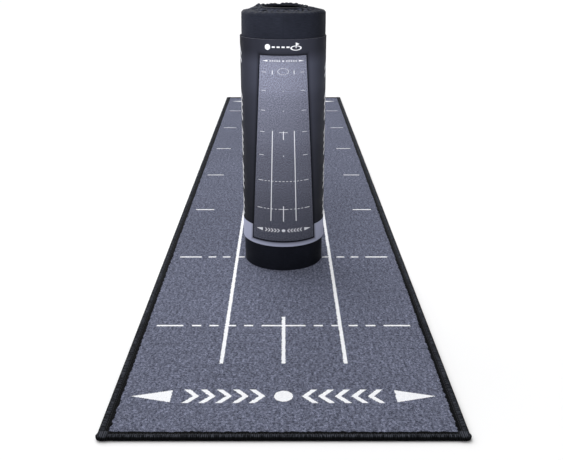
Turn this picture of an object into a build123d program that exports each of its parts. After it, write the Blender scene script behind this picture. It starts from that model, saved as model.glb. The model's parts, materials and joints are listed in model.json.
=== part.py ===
from build123d import *
import math
import os

# Practice putting mat laid flat, with its storage bag, the bag's card sleeve and the mat's roll
# inside the bag. Millimetres. +Z is up, +Y runs along the mat from the player to the far end, and
# the origin is on the floor at the centre of the mat.

# The mat
MAT_LENGTH = 2400.0
MAT_WIDTH = 500.0
BACKING_THICKNESS = 2.0
PILE_TOP = 5.0
LAYER_CLEARANCE = 0.1

# The binding tape: folded round the edge and sewn through
TAPE_REACH = 15.0
TAPE_THICKNESS = 0.5
TAPE_FOLD = 0.8
BINDING_TOP = 5.2
BINDING_ROUNDING = 1.6
CORNER_LENGTH = 13.0
CORNER_TOP = 6.0
CORNER_ROUNDING = 0.7

# The far end, which rolls up as a chain of strips
STRIP_COUNT = 7
STRIP_LENGTH = 60.0

# The bag, which stands on the mat
BAG_Y = -580.0
BAG_RADIUS = 80.5
BAG_FABRIC = 0.7
BASE_THICKNESS = 1.5
PIPING_WIDTH = 2.2
PIPING_HEIGHT = 1.7
PIPING_ROUNDING = 0.7
SHOULDER_RADIUS = 3.0
COLLAR_THICKNESS = 1.2
COLLAR_RISE = 5.0
MOUTH_RADIUS = 42.5
HEM_RADIUS = 2.4
HEM_FABRIC = 0.7
ELASTIC_RADIUS = 1.3
SEAM_WIDTH = 9.0
SEAM_THICKNESS = 0.35

# The card sleeve
SLEEVE_CLEARANCE = 1.8
CARD_THICKNESS = 0.5
SLEEVE_BOTTOM = 58.0
SLEEVE_HEIGHT = 404.0
SLIT_WIDTH = 1.0
LAP_WIDTH = 24.0
GLUE_WIDTH = 18.0
GLUE_THICKNESS = 0.1

# The roll: a spiral of half turns about two centres
ROLL_HALF_TURNS = 13
ROLL_PITCH = 5.3
ROLL_CORE = 40.4
ROLL_LIFT = 0.3

half_width = MAT_WIDTH / 2
half_length = MAT_LENGTH / 2
pile_thickness = PILE_TOP - BACKING_THICKNESS
first_hinge = half_length - STRIP_COUNT * STRIP_LENGTH
bag_bottom = PILE_TOP
bag_inner_radius = BAG_RADIUS - BAG_FABRIC
roll_bottom = bag_bottom + BASE_THICKNESS + ROLL_LIFT
roll_top = roll_bottom + MAT_WIDTH
wall_top = roll_top - 0.8
bag_top = wall_top + SHOULDER_RADIUS
sleeve_inner_radius = BAG_RADIUS + SLEEVE_CLEARANCE
sleeve_outer_radius = sleeve_inner_radius + CARD_THICKNESS

os.makedirs("parts", exist_ok=True)


def save(piece, node):
    """Label one finished piece and write it as its node's STEP file."""
    piece.part.label = node
    export_step(piece.part, f"parts/{node}.step")


def edge_plane(x, y, inward):
    """Plane across an edge of the mat: its X points inward, its Y up, and its Z along the edge."""
    direction = Vector(*inward)
    return Plane(origin=(x, y, 0), x_dir=direction, z_dir=direction.cross(Vector(0, 0, 1)))


def layer(full_bottom, full_top, rim_bottom, rim_top, y_near, y_far, near_rim, far_rim):
    """One layer of the mat: full height inside the binding, and thinner where the tape holds it."""
    full_width = MAT_WIDTH - 2 * (TAPE_REACH + LAYER_CLEARANCE)
    rim_width = MAT_WIDTH - 2 * (TAPE_FOLD + LAYER_CLEARANCE)
    full_near = y_near + (TAPE_REACH + LAYER_CLEARANCE if near_rim else 0)
    full_far = y_far - (TAPE_REACH + LAYER_CLEARANCE if far_rim else 0)
    rim_near = y_near + (TAPE_FOLD + LAYER_CLEARANCE if near_rim else 0)
    rim_far = y_far - (TAPE_FOLD + LAYER_CLEARANCE if far_rim else 0)
    with BuildPart() as piece:
        with BuildSketch(Plane.XY.offset(full_bottom)):
            with Locations((0, (full_near + full_far) / 2)):
                Rectangle(full_width, full_far - full_near)
        extrude(amount=full_top - full_bottom)
        with BuildSketch(Plane.XY.offset(rim_bottom)):
            with Locations((0, (rim_near + rim_far) / 2)):
                Rectangle(rim_width, rim_far - rim_near)
        extrude(amount=rim_top - rim_bottom)
    return piece


def pile_layer(y_near, y_far, near_rim=False, far_rim=False):
    """The printed pile, pressed down to the tape's inner face along the bound edges."""
    rim_top = BINDING_TOP - TAPE_THICKNESS - LAYER_CLEARANCE
    rims = (BACKING_THICKNESS, rim_top)
    return layer(BACKING_THICKNESS, PILE_TOP, *rims, y_near, y_far, near_rim, far_rim)


def backing_layer(y_near, y_far, near_rim=False, far_rim=False):
    """The rubber backing, which lies on the floor, and over the tape along the bound edges."""
    rims = (TAPE_THICKNESS + LAYER_CLEARANCE, BACKING_THICKNESS)
    return layer(0, BACKING_THICKNESS, *rims, y_near, y_far, near_rim, far_rim)


def binding(plane, length, closed_start=0.0, closed_end=0.0):
    """A folded tape along one edge, open towards the mat, closed at an end that turns a corner."""
    with BuildPart() as piece:
        with BuildSketch(plane):
            with Locations((TAPE_REACH / 2, BINDING_TOP / 2)):
                Rectangle(TAPE_REACH, BINDING_TOP)
        extrude(amount=length)
        folded_edges = piece.edges().filter_by(Axis(plane.origin, plane.z_dir))
        folded_edges = folded_edges.sort_by_distance(plane.origin + Vector(0, 0, BINDING_TOP / 2))[:2]
        fillet(folded_edges, BINDING_ROUNDING)
        for closed, place in ((closed_start, CORNER_LENGTH / 2), (closed_end, length - CORNER_LENGTH / 2)):
            if closed:
                with BuildPart(plane.offset(place), mode=Mode.PRIVATE) as corner:
                    with Locations((TAPE_REACH / 2, (TAPE_THICKNESS + CORNER_TOP) / 2, 0)):
                        Box(TAPE_REACH, CORNER_TOP - TAPE_THICKNESS, CORNER_LENGTH)
                    fillet(corner.edges(), CORNER_ROUNDING)
                add(corner.part)
        channel_top = BINDING_TOP - TAPE_THICKNESS
        with BuildSketch(plane.offset(closed_start)):
            with Locations(((TAPE_REACH + TAPE_FOLD) / 2, (TAPE_THICKNESS + channel_top) / 2)):
                Rectangle(TAPE_REACH - TAPE_FOLD, channel_top - TAPE_THICKNESS)
        extrude(amount=length - closed_start - closed_end, mode=Mode.SUBTRACT)
    return piece


def ring(z, outer_radius, inner_radius, height):
    """A round wall about the bag's axis."""
    with BuildPart() as piece:
        with BuildSketch(Plane.XY.offset(z)):
            with Locations((0, BAG_Y)):
                Circle(outer_radius)
                Circle(inner_radius, mode=Mode.SUBTRACT)
        extrude(amount=height)
    return piece


def curved_strip(z, outer_radius, inner_radius, height, width):
    """A strip of a round wall, of one width, on the far side of the bag's axis."""
    with BuildPart() as piece:
        with BuildSketch(Plane.XY.offset(z)):
            with Locations((0, BAG_Y)):
                Circle(outer_radius)
                Circle(inner_radius, mode=Mode.SUBTRACT)
            with Locations((0, BAG_Y + outer_radius)):
                Rectangle(width, outer_radius, mode=Mode.INTERSECT)
        extrude(amount=height)
    return piece


def spiral_arcs(depth, start, stop):
    """The roll's half turns, at one depth outside its inner face, between two sweep angles."""
    for half_turn in range(ROLL_HALF_TURNS):
        near = max(start, 180 * half_turn)
        far = min(stop, 180 * (half_turn + 1))
        if far > near:
            side = -1 if half_turn % 2 == 0 else 1
            radius = ROLL_CORE + half_turn * ROLL_PITCH / 2 + depth
            centre = ((side + 1) * ROLL_PITCH / 4, BAG_Y - ROLL_PITCH / 4)
            CenterArc(centre, radius, near, far - near)


def spiral_end(depth, angle, half_turn):
    """The point of the roll's spiral at one depth and sweep angle."""
    side = -1 if half_turn % 2 == 0 else 1
    radius = ROLL_CORE + half_turn * ROLL_PITCH / 2 + depth
    x = (side + 1) * ROLL_PITCH / 4 + radius * math.cos(math.radians(angle))
    y = BAG_Y - ROLL_PITCH / 4 + radius * math.sin(math.radians(angle))
    return (x, y)


def spiral_band(z, height, inner_depth, outer_depth, start, stop):
    """A rolled strip between two depths of the spiral and two sweep angles."""
    first = int(start // 180)
    last = int(math.ceil(stop / 180)) - 1
    with BuildPart() as piece:
        with BuildSketch(Plane.XY.offset(z)):
            with BuildLine():
                spiral_arcs(inner_depth, start, stop)
                spiral_arcs(outer_depth, start, stop)
                Line(spiral_end(inner_depth, start, first), spiral_end(outer_depth, start, first))
                Line(spiral_end(inner_depth, stop, last), spiral_end(outer_depth, stop, last))
            make_face()
        extrude(amount=height)
    return piece


# The mat from the near edge to the first hinge line
save(pile_layer(-half_length, first_hinge, near_rim=True), "mat_pile")
save(backing_layer(-half_length, first_hinge, near_rim=True), "mat_backing")
flat_length = first_hinge + half_length
right_start = edge_plane(half_width, -half_length, (-1, 0, 0))
left_start = edge_plane(-half_width, first_hinge, (1, 0, 0))
save(binding(right_start, flat_length, closed_start=TAPE_FOLD), "mat_binding_right")
save(binding(left_start, flat_length, closed_end=TAPE_FOLD), "mat_binding_left")

# The two end bindings run between the side bindings
end_reach = half_width - TAPE_REACH - LAYER_CLEARANCE
near_edge = edge_plane(-end_reach, -half_length, (0, 1, 0))
far_edge = edge_plane(end_reach, half_length, (0, -1, 0))
save(binding(near_edge, 2 * end_reach), "mat_binding_near")
save(binding(far_edge, 2 * end_reach), "mat_binding_far")

# The strips of the far end, each a length of pile, backing and two side bindings
for number in range(1, STRIP_COUNT + 1):
    y_near = first_hinge + (number - 1) * STRIP_LENGTH
    y_far = y_near + STRIP_LENGTH
    is_last = number == STRIP_COUNT
    corner_wall = TAPE_FOLD if is_last else 0.0
    right_start = edge_plane(half_width, y_near, (-1, 0, 0))
    left_start = edge_plane(-half_width, y_far, (1, 0, 0))
    save(pile_layer(y_near, y_far, far_rim=is_last), f"strip_{number}_pile")
    save(backing_layer(y_near, y_far, far_rim=is_last), f"strip_{number}_backing")
    right_tape = binding(right_start, STRIP_LENGTH, closed_end=corner_wall)
    left_tape = binding(left_start, STRIP_LENGTH, closed_start=corner_wall)
    save(right_tape, f"strip_{number}_binding_right")
    save(left_tape, f"strip_{number}_binding_left")

# The bag's round base panel
with BuildPart() as bag_base:
    with BuildSketch(Plane.XY.offset(bag_bottom)):
        with Locations((0, BAG_Y)):
            Circle(BAG_RADIUS - PIPING_WIDTH)
    extrude(amount=BASE_THICKNESS)
save(bag_base, "bag_base")

# The piping that joins the base panel to the wall
with BuildPart() as bag_base_piping:
    with BuildSketch(Plane.YZ):
        with Locations((BAG_Y + BAG_RADIUS - PIPING_WIDTH / 2, bag_bottom + PIPING_HEIGHT / 2)):
            RectangleRounded(PIPING_WIDTH, PIPING_HEIGHT, PIPING_ROUNDING)
    revolve(axis=Axis((0, BAG_Y, 0), (0, 0, 1)))
save(bag_base_piping, "bag_base_piping")

# The wall, and the seam allowance inside it at the back
wall_bottom = bag_bottom + PIPING_HEIGHT
save(ring(wall_bottom, BAG_RADIUS, bag_inner_radius, wall_top - wall_bottom), "bag_wall")
seam_outer_radius = bag_inner_radius - 0.02
seam_inner_radius = seam_outer_radius - SEAM_THICKNESS
seam_height = wall_top - wall_bottom
seam = curved_strip(wall_bottom, seam_outer_radius, seam_inner_radius, seam_height, SEAM_WIDTH)
save(seam, "bag_side_seam")

# The gathered collar, which rises from the shoulder in to the mouth
hem_outer_radius = MOUTH_RADIUS + HEM_RADIUS
collar_inner_radius = hem_outer_radius + 0.05
lip_height = bag_top - BAG_FABRIC + COLLAR_RISE
shoulder_centre = BAG_RADIUS - SHOULDER_RADIUS
with BuildPart() as bag_collar:
    with BuildSketch(Plane.YZ):
        with BuildLine():
            outer_corner = (BAG_Y + BAG_RADIUS, wall_top)
            outer_crown = (BAG_Y + shoulder_centre, bag_top)
            inner_crown = (BAG_Y + shoulder_centre, bag_top - BAG_FABRIC)
            inner_corner = (BAG_Y + bag_inner_radius, wall_top)
            lip_top = (BAG_Y + collar_inner_radius, lip_height + COLLAR_THICKNESS)
            lip_bottom = (BAG_Y + collar_inner_radius, lip_height)
            RadiusArc(outer_corner, outer_crown, -SHOULDER_RADIUS)
            Line(outer_crown, lip_top)
            Line(lip_top, lip_bottom)
            Line(lip_bottom, inner_crown)
            RadiusArc(inner_crown, inner_corner, SHOULDER_RADIUS - BAG_FABRIC)
            Line(inner_corner, outer_corner)
        make_face()
    revolve(axis=Axis((0, BAG_Y, 0), (0, 0, 1)))
save(bag_collar, "bag_collar")

# The hem round the mouth, and the elastic that it holds
hem_height = lip_height + COLLAR_THICKNESS / 2
with BuildPart() as bag_mouth_hem:
    with BuildSketch(Plane.YZ):
        with Locations((BAG_Y + MOUTH_RADIUS, hem_height)):
            Circle(HEM_RADIUS)
            Circle(HEM_RADIUS - HEM_FABRIC, mode=Mode.SUBTRACT)
    revolve(axis=Axis((0, BAG_Y, 0), (0, 0, 1)))
save(bag_mouth_hem, "bag_mouth_hem")

with BuildPart() as bag_mouth_elastic:
    with BuildSketch(Plane.YZ):
        with Locations((BAG_Y + MOUTH_RADIUS, hem_height)):
            Circle(ELASTIC_RADIUS)
    revolve(axis=Axis((0, BAG_Y, 0), (0, 0, 1)))
save(bag_mouth_elastic, "bag_mouth_elastic")

# The card sleeve: a wrap with a slit at the back, a lap over the slit and the glue between them
with BuildPart() as sleeve_card:
    with BuildSketch(Plane.XY.offset(SLEEVE_BOTTOM)):
        with Locations((0, BAG_Y)):
            Circle(sleeve_outer_radius)
            Circle(sleeve_inner_radius, mode=Mode.SUBTRACT)
        with Locations((0, BAG_Y + sleeve_outer_radius)):
            Rectangle(SLIT_WIDTH, sleeve_outer_radius, mode=Mode.SUBTRACT)
    extrude(amount=SLEEVE_HEIGHT)
save(sleeve_card, "sleeve_card")

glue_outer_radius = sleeve_outer_radius + GLUE_THICKNESS
lap_outer_radius = glue_outer_radius + CARD_THICKNESS
glue = curved_strip(SLEEVE_BOTTOM, glue_outer_radius, sleeve_outer_radius, SLEEVE_HEIGHT, GLUE_WIDTH)
save(glue, "sleeve_glue")
lap = curved_strip(SLEEVE_BOTTOM, lap_outer_radius, glue_outer_radius, SLEEVE_HEIGHT, LAP_WIDTH)
save(lap, "sleeve_lap")

# The mat's roll, pile inward: layers between the side bindings, and a binding at each end
full_sweep = 180.0 * ROLL_HALF_TURNS
outermost_radius = ROLL_CORE + (ROLL_HALF_TURNS - 1) * ROLL_PITCH / 2 + PILE_TOP
inner_end = math.degrees(TAPE_REACH / ROLL_CORE)
outer_end = full_sweep - math.degrees(TAPE_REACH / outermost_radius)
web_bottom = roll_bottom + TAPE_REACH
web_height = MAT_WIDTH - 2 * TAPE_REACH
save(spiral_band(web_bottom, web_height, 0, pile_thickness, inner_end, outer_end), "roll_pile")
save(spiral_band(web_bottom, web_height, pile_thickness, PILE_TOP, inner_end, outer_end), "roll_backing")
save(spiral_band(web_bottom, web_height, 0, PILE_TOP, 0, inner_end), "roll_binding_inner")
save(spiral_band(web_bottom, web_height, 0, PILE_TOP, outer_end, full_sweep), "roll_binding_outer")
save(spiral_band(roll_bottom, TAPE_REACH, 0, PILE_TOP, 0, full_sweep), "roll_binding_bottom")
save(spiral_band(roll_top - TAPE_REACH, TAPE_REACH, 0, PILE_TOP, 0, full_sweep), "roll_binding_top")

centre_depth = PILE_TOP / 2
roll_length = 0.0
for half_turn in range(ROLL_HALF_TURNS):
    roll_length += math.pi * (ROLL_CORE + half_turn * ROLL_PITCH / 2 + centre_depth)
print(f"length of mat in the roll: {roll_length:.0f} mm; bag rim at {bag_top:.1f} mm")
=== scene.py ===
import json
import math
import random

import bpy
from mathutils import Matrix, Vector, noise


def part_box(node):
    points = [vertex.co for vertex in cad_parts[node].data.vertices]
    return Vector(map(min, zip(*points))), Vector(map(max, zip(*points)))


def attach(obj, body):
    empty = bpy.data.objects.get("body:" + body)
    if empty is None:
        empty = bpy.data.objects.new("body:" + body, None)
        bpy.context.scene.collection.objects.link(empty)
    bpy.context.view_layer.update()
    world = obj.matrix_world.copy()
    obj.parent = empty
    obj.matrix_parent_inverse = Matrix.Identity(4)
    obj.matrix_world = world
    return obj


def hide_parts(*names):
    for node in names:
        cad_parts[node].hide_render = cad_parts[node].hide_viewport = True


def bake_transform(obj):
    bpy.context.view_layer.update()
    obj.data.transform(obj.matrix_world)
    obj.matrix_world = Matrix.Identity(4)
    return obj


# A practice putting mat laid flat, with its storage bag, card sleeve and stored roll standing on it.
# Metres, in the CAD frame: +Y runs from the player to the far end and z = 0 is the floor.

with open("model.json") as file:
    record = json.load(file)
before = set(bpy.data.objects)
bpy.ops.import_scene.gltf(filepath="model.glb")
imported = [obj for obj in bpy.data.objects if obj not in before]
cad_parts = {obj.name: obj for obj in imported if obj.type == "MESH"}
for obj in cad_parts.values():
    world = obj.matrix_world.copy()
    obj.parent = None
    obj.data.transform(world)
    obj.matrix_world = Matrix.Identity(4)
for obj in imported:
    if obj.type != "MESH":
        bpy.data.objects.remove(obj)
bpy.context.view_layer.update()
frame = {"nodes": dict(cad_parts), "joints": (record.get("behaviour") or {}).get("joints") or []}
SEED = 7

# ---------------------------------------------------------------- places, read from the frame

NEAR_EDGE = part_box("mat_binding_near")[0].y
FAR_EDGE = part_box("mat_binding_far")[1].y
HALF_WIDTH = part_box("strip_1_binding_right")[1].x
MAT_LENGTH = FAR_EDGE - NEAR_EDGE
TAPE_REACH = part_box("mat_binding_near")[1].y - NEAR_EDGE
BACKING_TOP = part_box("mat_backing")[1].z
PILE_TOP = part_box("mat_pile")[1].z
HINGES = [j["pos_m"][1] for j in frame["joints"] if j["name"].startswith("mat_curl")]
STRIPS = len(HINGES)
HALF_STRIP = (HINGES[1] - HINGES[0]) / 2

wall_low, wall_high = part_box("bag_wall")
BAG_Y = (wall_low.y + wall_high.y) / 2
BAG_RADIUS = (wall_high.y - wall_low.y) / 2
WALL_TOP = wall_high.z
RIM_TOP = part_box("bag_collar")[1].z
HEM_OUTER = (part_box("bag_mouth_hem")[1].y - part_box("bag_mouth_hem")[0].y) / 2
sleeve_low, sleeve_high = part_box("sleeve_card")
SLEEVE_OUTER = (sleeve_high.x - sleeve_low.x) / 2
SLEEVE_HEIGHT = sleeve_high.z - sleeve_low.z
ROLL_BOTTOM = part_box("roll_binding_bottom")[0].z
ROLL_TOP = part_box("roll_binding_top")[1].z

# ---------------------------------------------------------------- sizes too fine for the frame

CARD_THICKNESS = 0.0005
GLUE_THICKNESS = 0.0001
ROLL_PITCH = 0.0053
ROLL_CORE = 0.0404
ROLL_HALF_TURNS = 13

RIB_PITCH = 0.0027
CORNER_TUCK = 0.0065
STITCH_PITCH = 0.0046
STITCH_IN = 0.0101
STITCH_HEIGHT = 0.0050
PILE_TUCK = 0.001
BEND_STEP = 0.0025

FABRIC = 0.0007
FABRIC_GAP = 0.0001
HEM_RADIUS = 0.0023
SHOULDER_BEND = 0.0062
WALL_END = WALL_TOP + 0.003 - SHOULDER_BEND
GATHER_HEIGHT = 0.0034
MOUTH_TILT = 0.0024
COLLAR_COLUMNS, COLLAR_ROWS = 432, 17
COLLAR_FLAT_HEIGHT = 0.0355
CREASE_DEPTH = 0.0015
SIM_SCALE = 20.0
SIM_FRAMES = 30

# ---------------------------------------------------------------- camera, light and floor


def add_object(data, location=(0.0, 0.0, 0.0)):
    """An object in the scene that holds a camera, a light or a mesh."""
    made = bpy.data.objects.new(data.name, data)
    bpy.context.scene.collection.objects.link(made)
    made.location = location
    return made


def make_camera():
    """The photograph's view: over the near edge, along the mat."""
    behind_edge, above_pile, pitch_down = 0.8060, 0.6067, math.radians(19.90)
    camera = bpy.data.cameras.new("camera")
    camera.sensor_width = 36.0
    camera.lens = 46.56341
    camera.shift_x, camera.shift_y = -0.0036, -0.0266
    camera.clip_start, camera.clip_end = 0.05, 50.0
    holder = add_object(camera, (0.0, NEAR_EDGE - behind_edge, PILE_TOP + above_pile))
    holder.rotation_euler = (math.pi / 2 - pitch_down, 0.0, 0.0)
    bpy.context.scene.camera = holder


def set_range(node, *limits):
    """Sets a Map Range node's from and to limits."""
    for name, value in zip(("From Min", "From Max", "To Min", "To Max"), limits):
        node.inputs[name].default_value = value


def make_room():
    """A white room that is darker to one side, with a plain backdrop behind the object."""
    room_strength, dark_side, backdrop_white = 0.72, 0.45, (0.96, 0.96, 0.965, 1.0)
    world = bpy.data.worlds.new("studio")
    bpy.context.scene.world = world
    world.use_nodes = True
    nodes, link = world.node_tree.nodes, world.node_tree.links.new
    room = nodes["Background"]
    room.inputs["Strength"].default_value = room_strength
    split = nodes.new("ShaderNodeSeparateXYZ")
    link(nodes.new("ShaderNodeTexCoord").outputs["Generated"], split.inputs[0])
    walls = nodes.new("ShaderNodeMapRange")
    link(split.outputs["X"], walls.inputs["Value"])
    set_range(walls, 0.0, 1.0, 1.0, dark_side)
    link(walls.outputs["Result"], room.inputs["Color"])
    backdrop = nodes.new("ShaderNodeBackground")
    backdrop.inputs["Color"].default_value = backdrop_white
    both = nodes.new("ShaderNodeMixShader")
    link(nodes.new("ShaderNodeLightPath").outputs["Is Camera Ray"], both.inputs["Fac"])
    link(room.outputs[0], both.inputs[1])
    link(backdrop.outputs[0], both.inputs[2])
    link(both.outputs[0], nodes["World Output"].inputs["Surface"])


def aim(holder, direction):
    """Turns a light to shine along a direction."""
    holder.rotation_euler = direction.to_track_quat("-Z", "Y").to_euler()


def make_studio():
    """The room, a wide soft key light, a soft box in front of the bag and a pale floor."""
    make_room()
    key_direction = Vector((0.38, -0.62, -0.69))
    box_place = Vector((-0.22, BAG_Y - 0.68, RIM_TOP + 0.42))
    box_target = Vector((0.0, BAG_Y, RIM_TOP - 0.06))
    key = bpy.data.lights.new("key", "SUN")
    key.energy, key.angle = 2.20, math.radians(60)
    aim(add_object(key), key_direction)
    box = bpy.data.lights.new("soft_box", "AREA")
    box.shape, box.size, box.size_y, box.energy = "RECTANGLE", 0.5, 0.35, 1.2
    box.spread = math.radians(75)
    aim(add_object(box, box_place), box_target - box_place)
    bpy.context.scene.view_settings.view_transform = "Standard"
    bpy.ops.mesh.primitive_plane_add(size=60.0, location=(0.0, 0.0, 0.0))
    floor = bpy.context.object
    floor.name = "floor"
    whites = (0.93, 0.93, 0.935), (0.95, 0.95, 0.953)
    floor_white = grained_material("floor_white", (3.0, 2.0), *whites, roughness=0.9, specular=0.0)
    floor.data.materials.append(floor_white)


# ---------------------------------------------------------------- colours

PILE_DARK = (0.028, 0.032, 0.052)
PILE_LIGHT = (0.255, 0.272, 0.368)
INK_DARK = (0.84, 0.85, 0.89)
INK_LIGHT = (0.96, 0.965, 0.98)
TAPE_DARK = (0.0030, 0.0033, 0.0045)
TAPE_LIGHT = (0.062, 0.066, 0.082)
THREAD_DARK = (0.004, 0.005, 0.007)
THREAD_LIGHT = (0.030, 0.032, 0.040)
RUBBER_DARK = (0.020, 0.020, 0.022)
RUBBER_LIGHT = (0.034, 0.034, 0.036)
DUST = (0.07, 0.07, 0.072)
NYLON_DARK = (0.0075, 0.0087, 0.0132)
NYLON_LIGHT = (0.0212, 0.0236, 0.0355)
CHARCOAL_DARK = (0.061, 0.065, 0.093)
CHARCOAL_LIGHT = (0.073, 0.078, 0.111)
FOOT_BAND = (0.385, 0.404, 0.532)
PICTURE_EDGE = (0.010, 0.010, 0.015)
PICTURE_DARK = (0.122, 0.129, 0.178)
PICTURE_LIGHT = (0.325, 0.340, 0.448)
PRINT_WHITE = (0.80, 0.81, 0.86)

# ---------------------------------------------------------------- material helpers


def operator(operation, swapped=False):
    """A method of Level that adds a Math node."""
    def method(level, other=0.0):
        return level.paint.math(operation, *((other, level) if swapped else (level, other)))
    return method


class Level:
    """A number or colour inside a material. Arithmetic on it adds Math nodes."""

    __add__, __sub__, __mul__ = operator("ADD"), operator("SUBTRACT"), operator("MULTIPLY")
    __truediv__, __abs__ = operator("DIVIDE"), operator("ABSOLUTE")
    __rsub__, __rtruediv__ = operator("SUBTRACT", True), operator("DIVIDE", True)
    __lt__, __gt__ = operator("LESS_THAN"), operator("GREATER_THAN")
    # how far a level is from the nearest even multiple of another
    repeat = operator("PINGPONG")

    def __init__(self, paint, socket):
        self.paint, self.socket = paint, socket

    def near(self, centre, half_width):
        """1 within half_width of centre."""
        return self.paint.math("COMPARE", self, centre, half_width)

    def ramp(self, *stops):
        """A grey ramp through (position, level) stops."""
        made = self.paint.node("ShaderNodeValToRGB")
        made.color_ramp.interpolation = "EASE"
        elements = made.color_ramp.elements
        while len(elements) < len(stops):
            elements.new(0.5)
        for element, (position, level) in zip(elements, stops):
            element.position = position
            element.color = (level, level, level, 1.0)
        self.paint.plug(made.inputs["Fac"], self)
        return Level(self.paint, made.outputs["Color"])


class Paint:
    """A procedural material, built node by node."""

    def __init__(self, name, roughness=0.6, specular=0.4, sheen=0.0, sheen_tint=(1.0, 1.0, 1.0)):
        self.material = bpy.data.materials.new(name)
        self.material.use_nodes = True
        self.tree = self.material.node_tree
        self.shader = self.tree.nodes["Principled BSDF"]
        finish = {"Roughness": roughness, "Specular IOR Level": specular, "Sheen Weight": sheen,
                  "Sheen Roughness": 0.4, "Sheen Tint": sheen_tint}
        for key, value in finish.items():
            self.plug(self.shader.inputs[key], value)

    def node(self, kind, **settings):
        made = self.tree.nodes.new(kind)
        for key, value in settings.items():
            setattr(made, key, value)
        return made

    def plug(self, socket, value):
        """Links a socket to a level, or sets its value."""
        if isinstance(value, Level):
            self.tree.links.new(value.socket, socket)
        elif isinstance(value, tuple) and len(value) == 3 and socket.type == "RGBA":
            socket.default_value = (*value, 1.0)
        else:
            socket.default_value = value

    def math(self, operation, a, b=0.0, c=0.0):
        made = self.node("ShaderNodeMath", operation=operation)
        for socket, value in zip(made.inputs, (a, b, c)):
            self.plug(socket, value)
        return Level(self, made.outputs[0])

    def total(self, first, *others):
        """The sum of several masks, held to 1."""
        for value in others:
            first = first + value
        return self.math("MINIMUM", first, 1.0)

    def both(self, first, *others):
        """The product of several masks."""
        for value in others:
            first = first * value
        return first

    def distance(self, x, y):
        return self.math("SQRT", self.math("POWER", x, 2.0) + self.math("POWER", y, 2.0))

    def mix(self, factor, a, b, blend="MIX"):
        made = self.node("ShaderNodeMix", data_type="RGBA", blend_type=blend)
        for name, value in (("Factor", factor), ("A", a), ("B", b)):
            self.plug(made.inputs[name], value)
        return Level(self, made.outputs["Result"])

    def scaled(self, color, factor):
        """A colour times a level."""
        return self.mix(1.0, color, factor, "MULTIPLY")

    def uv(self):
        return Level(self, self.node("ShaderNodeUVMap", uv_map="lay").outputs["UV"])

    def object_coords(self):
        return Level(self, self.node("ShaderNodeTexCoord").outputs["Object"])

    def split(self, vector):
        made = self.node("ShaderNodeSeparateXYZ")
        self.plug(made.inputs[0], vector)
        return [Level(self, output) for output in made.outputs]

    def stretch(self, vector, x, y, z=1.0):
        """A coordinate scaled along its axes."""
        made = self.node("ShaderNodeVectorMath", operation="MULTIPLY")
        self.plug(made.inputs[0], vector)
        made.inputs[1].default_value = (x, y, z)
        return Level(self, made.outputs[0])

    def noise(self, vector, scale, detail=2.0, roughness=0.5, dimensions="3D"):
        made = self.node("ShaderNodeTexNoise", noise_dimensions=dimensions)
        for name, value in (("Vector", vector), ("Scale", scale), ("Detail", detail), ("Roughness", roughness)):
            self.plug(made.inputs[name], value)
        return Level(self, made.outputs["Fac"])

    def cells(self, vector, scale):
        """The distance to the middle of each cell of a 2-D pattern."""
        made = self.node("ShaderNodeTexVoronoi", voronoi_dimensions="2D")
        self.plug(made.inputs["Vector"], vector)
        made.inputs["Scale"].default_value = scale
        return Level(self, made.outputs["Distance"])

    def color(self, level):
        self.plug(self.shader.inputs["Base Color"], level)

    def roughness(self, level):
        self.plug(self.shader.inputs["Roughness"], level)

    def bump(self, height, distance, strength=1.0):
        made = self.node("ShaderNodeBump")
        for name, value in (("Strength", strength), ("Distance", distance), ("Height", height)):
            self.plug(made.inputs[name], value)
        self.plug(self.shader.inputs["Normal"], Level(self, made.outputs["Normal"]))


# ---------------------------------------------------------------- the mat's printed marks


def end_motif(paint, across, v, centre, reach):
    """The row of marks at one end of the mat: arrows, chevrons and a dot, half as deep as reach."""
    slope, stripe_phase, stripe_pitch, stripe_half = 0.85, 0.0310, 0.0120, 0.0045
    rise = abs(v - centre)
    slanted = across - rise * slope
    stripes = (slanted - stripe_phase).repeat(stripe_pitch).near(0.0, stripe_half)
    chevrons = paint.both(stripes, rise.near(0.0, reach), slanted.near(0.0790, 0.0540))
    arrow_point, arrow_slope = 0.2210, 0.26
    arrow = paint.both(rise < (arrow_point - across) * arrow_slope, across.near(0.1920, 0.0290))
    dot = paint.distance(across, rise).near(0.0, reach * 0.80)
    return chevrons, arrow, dot


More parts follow.
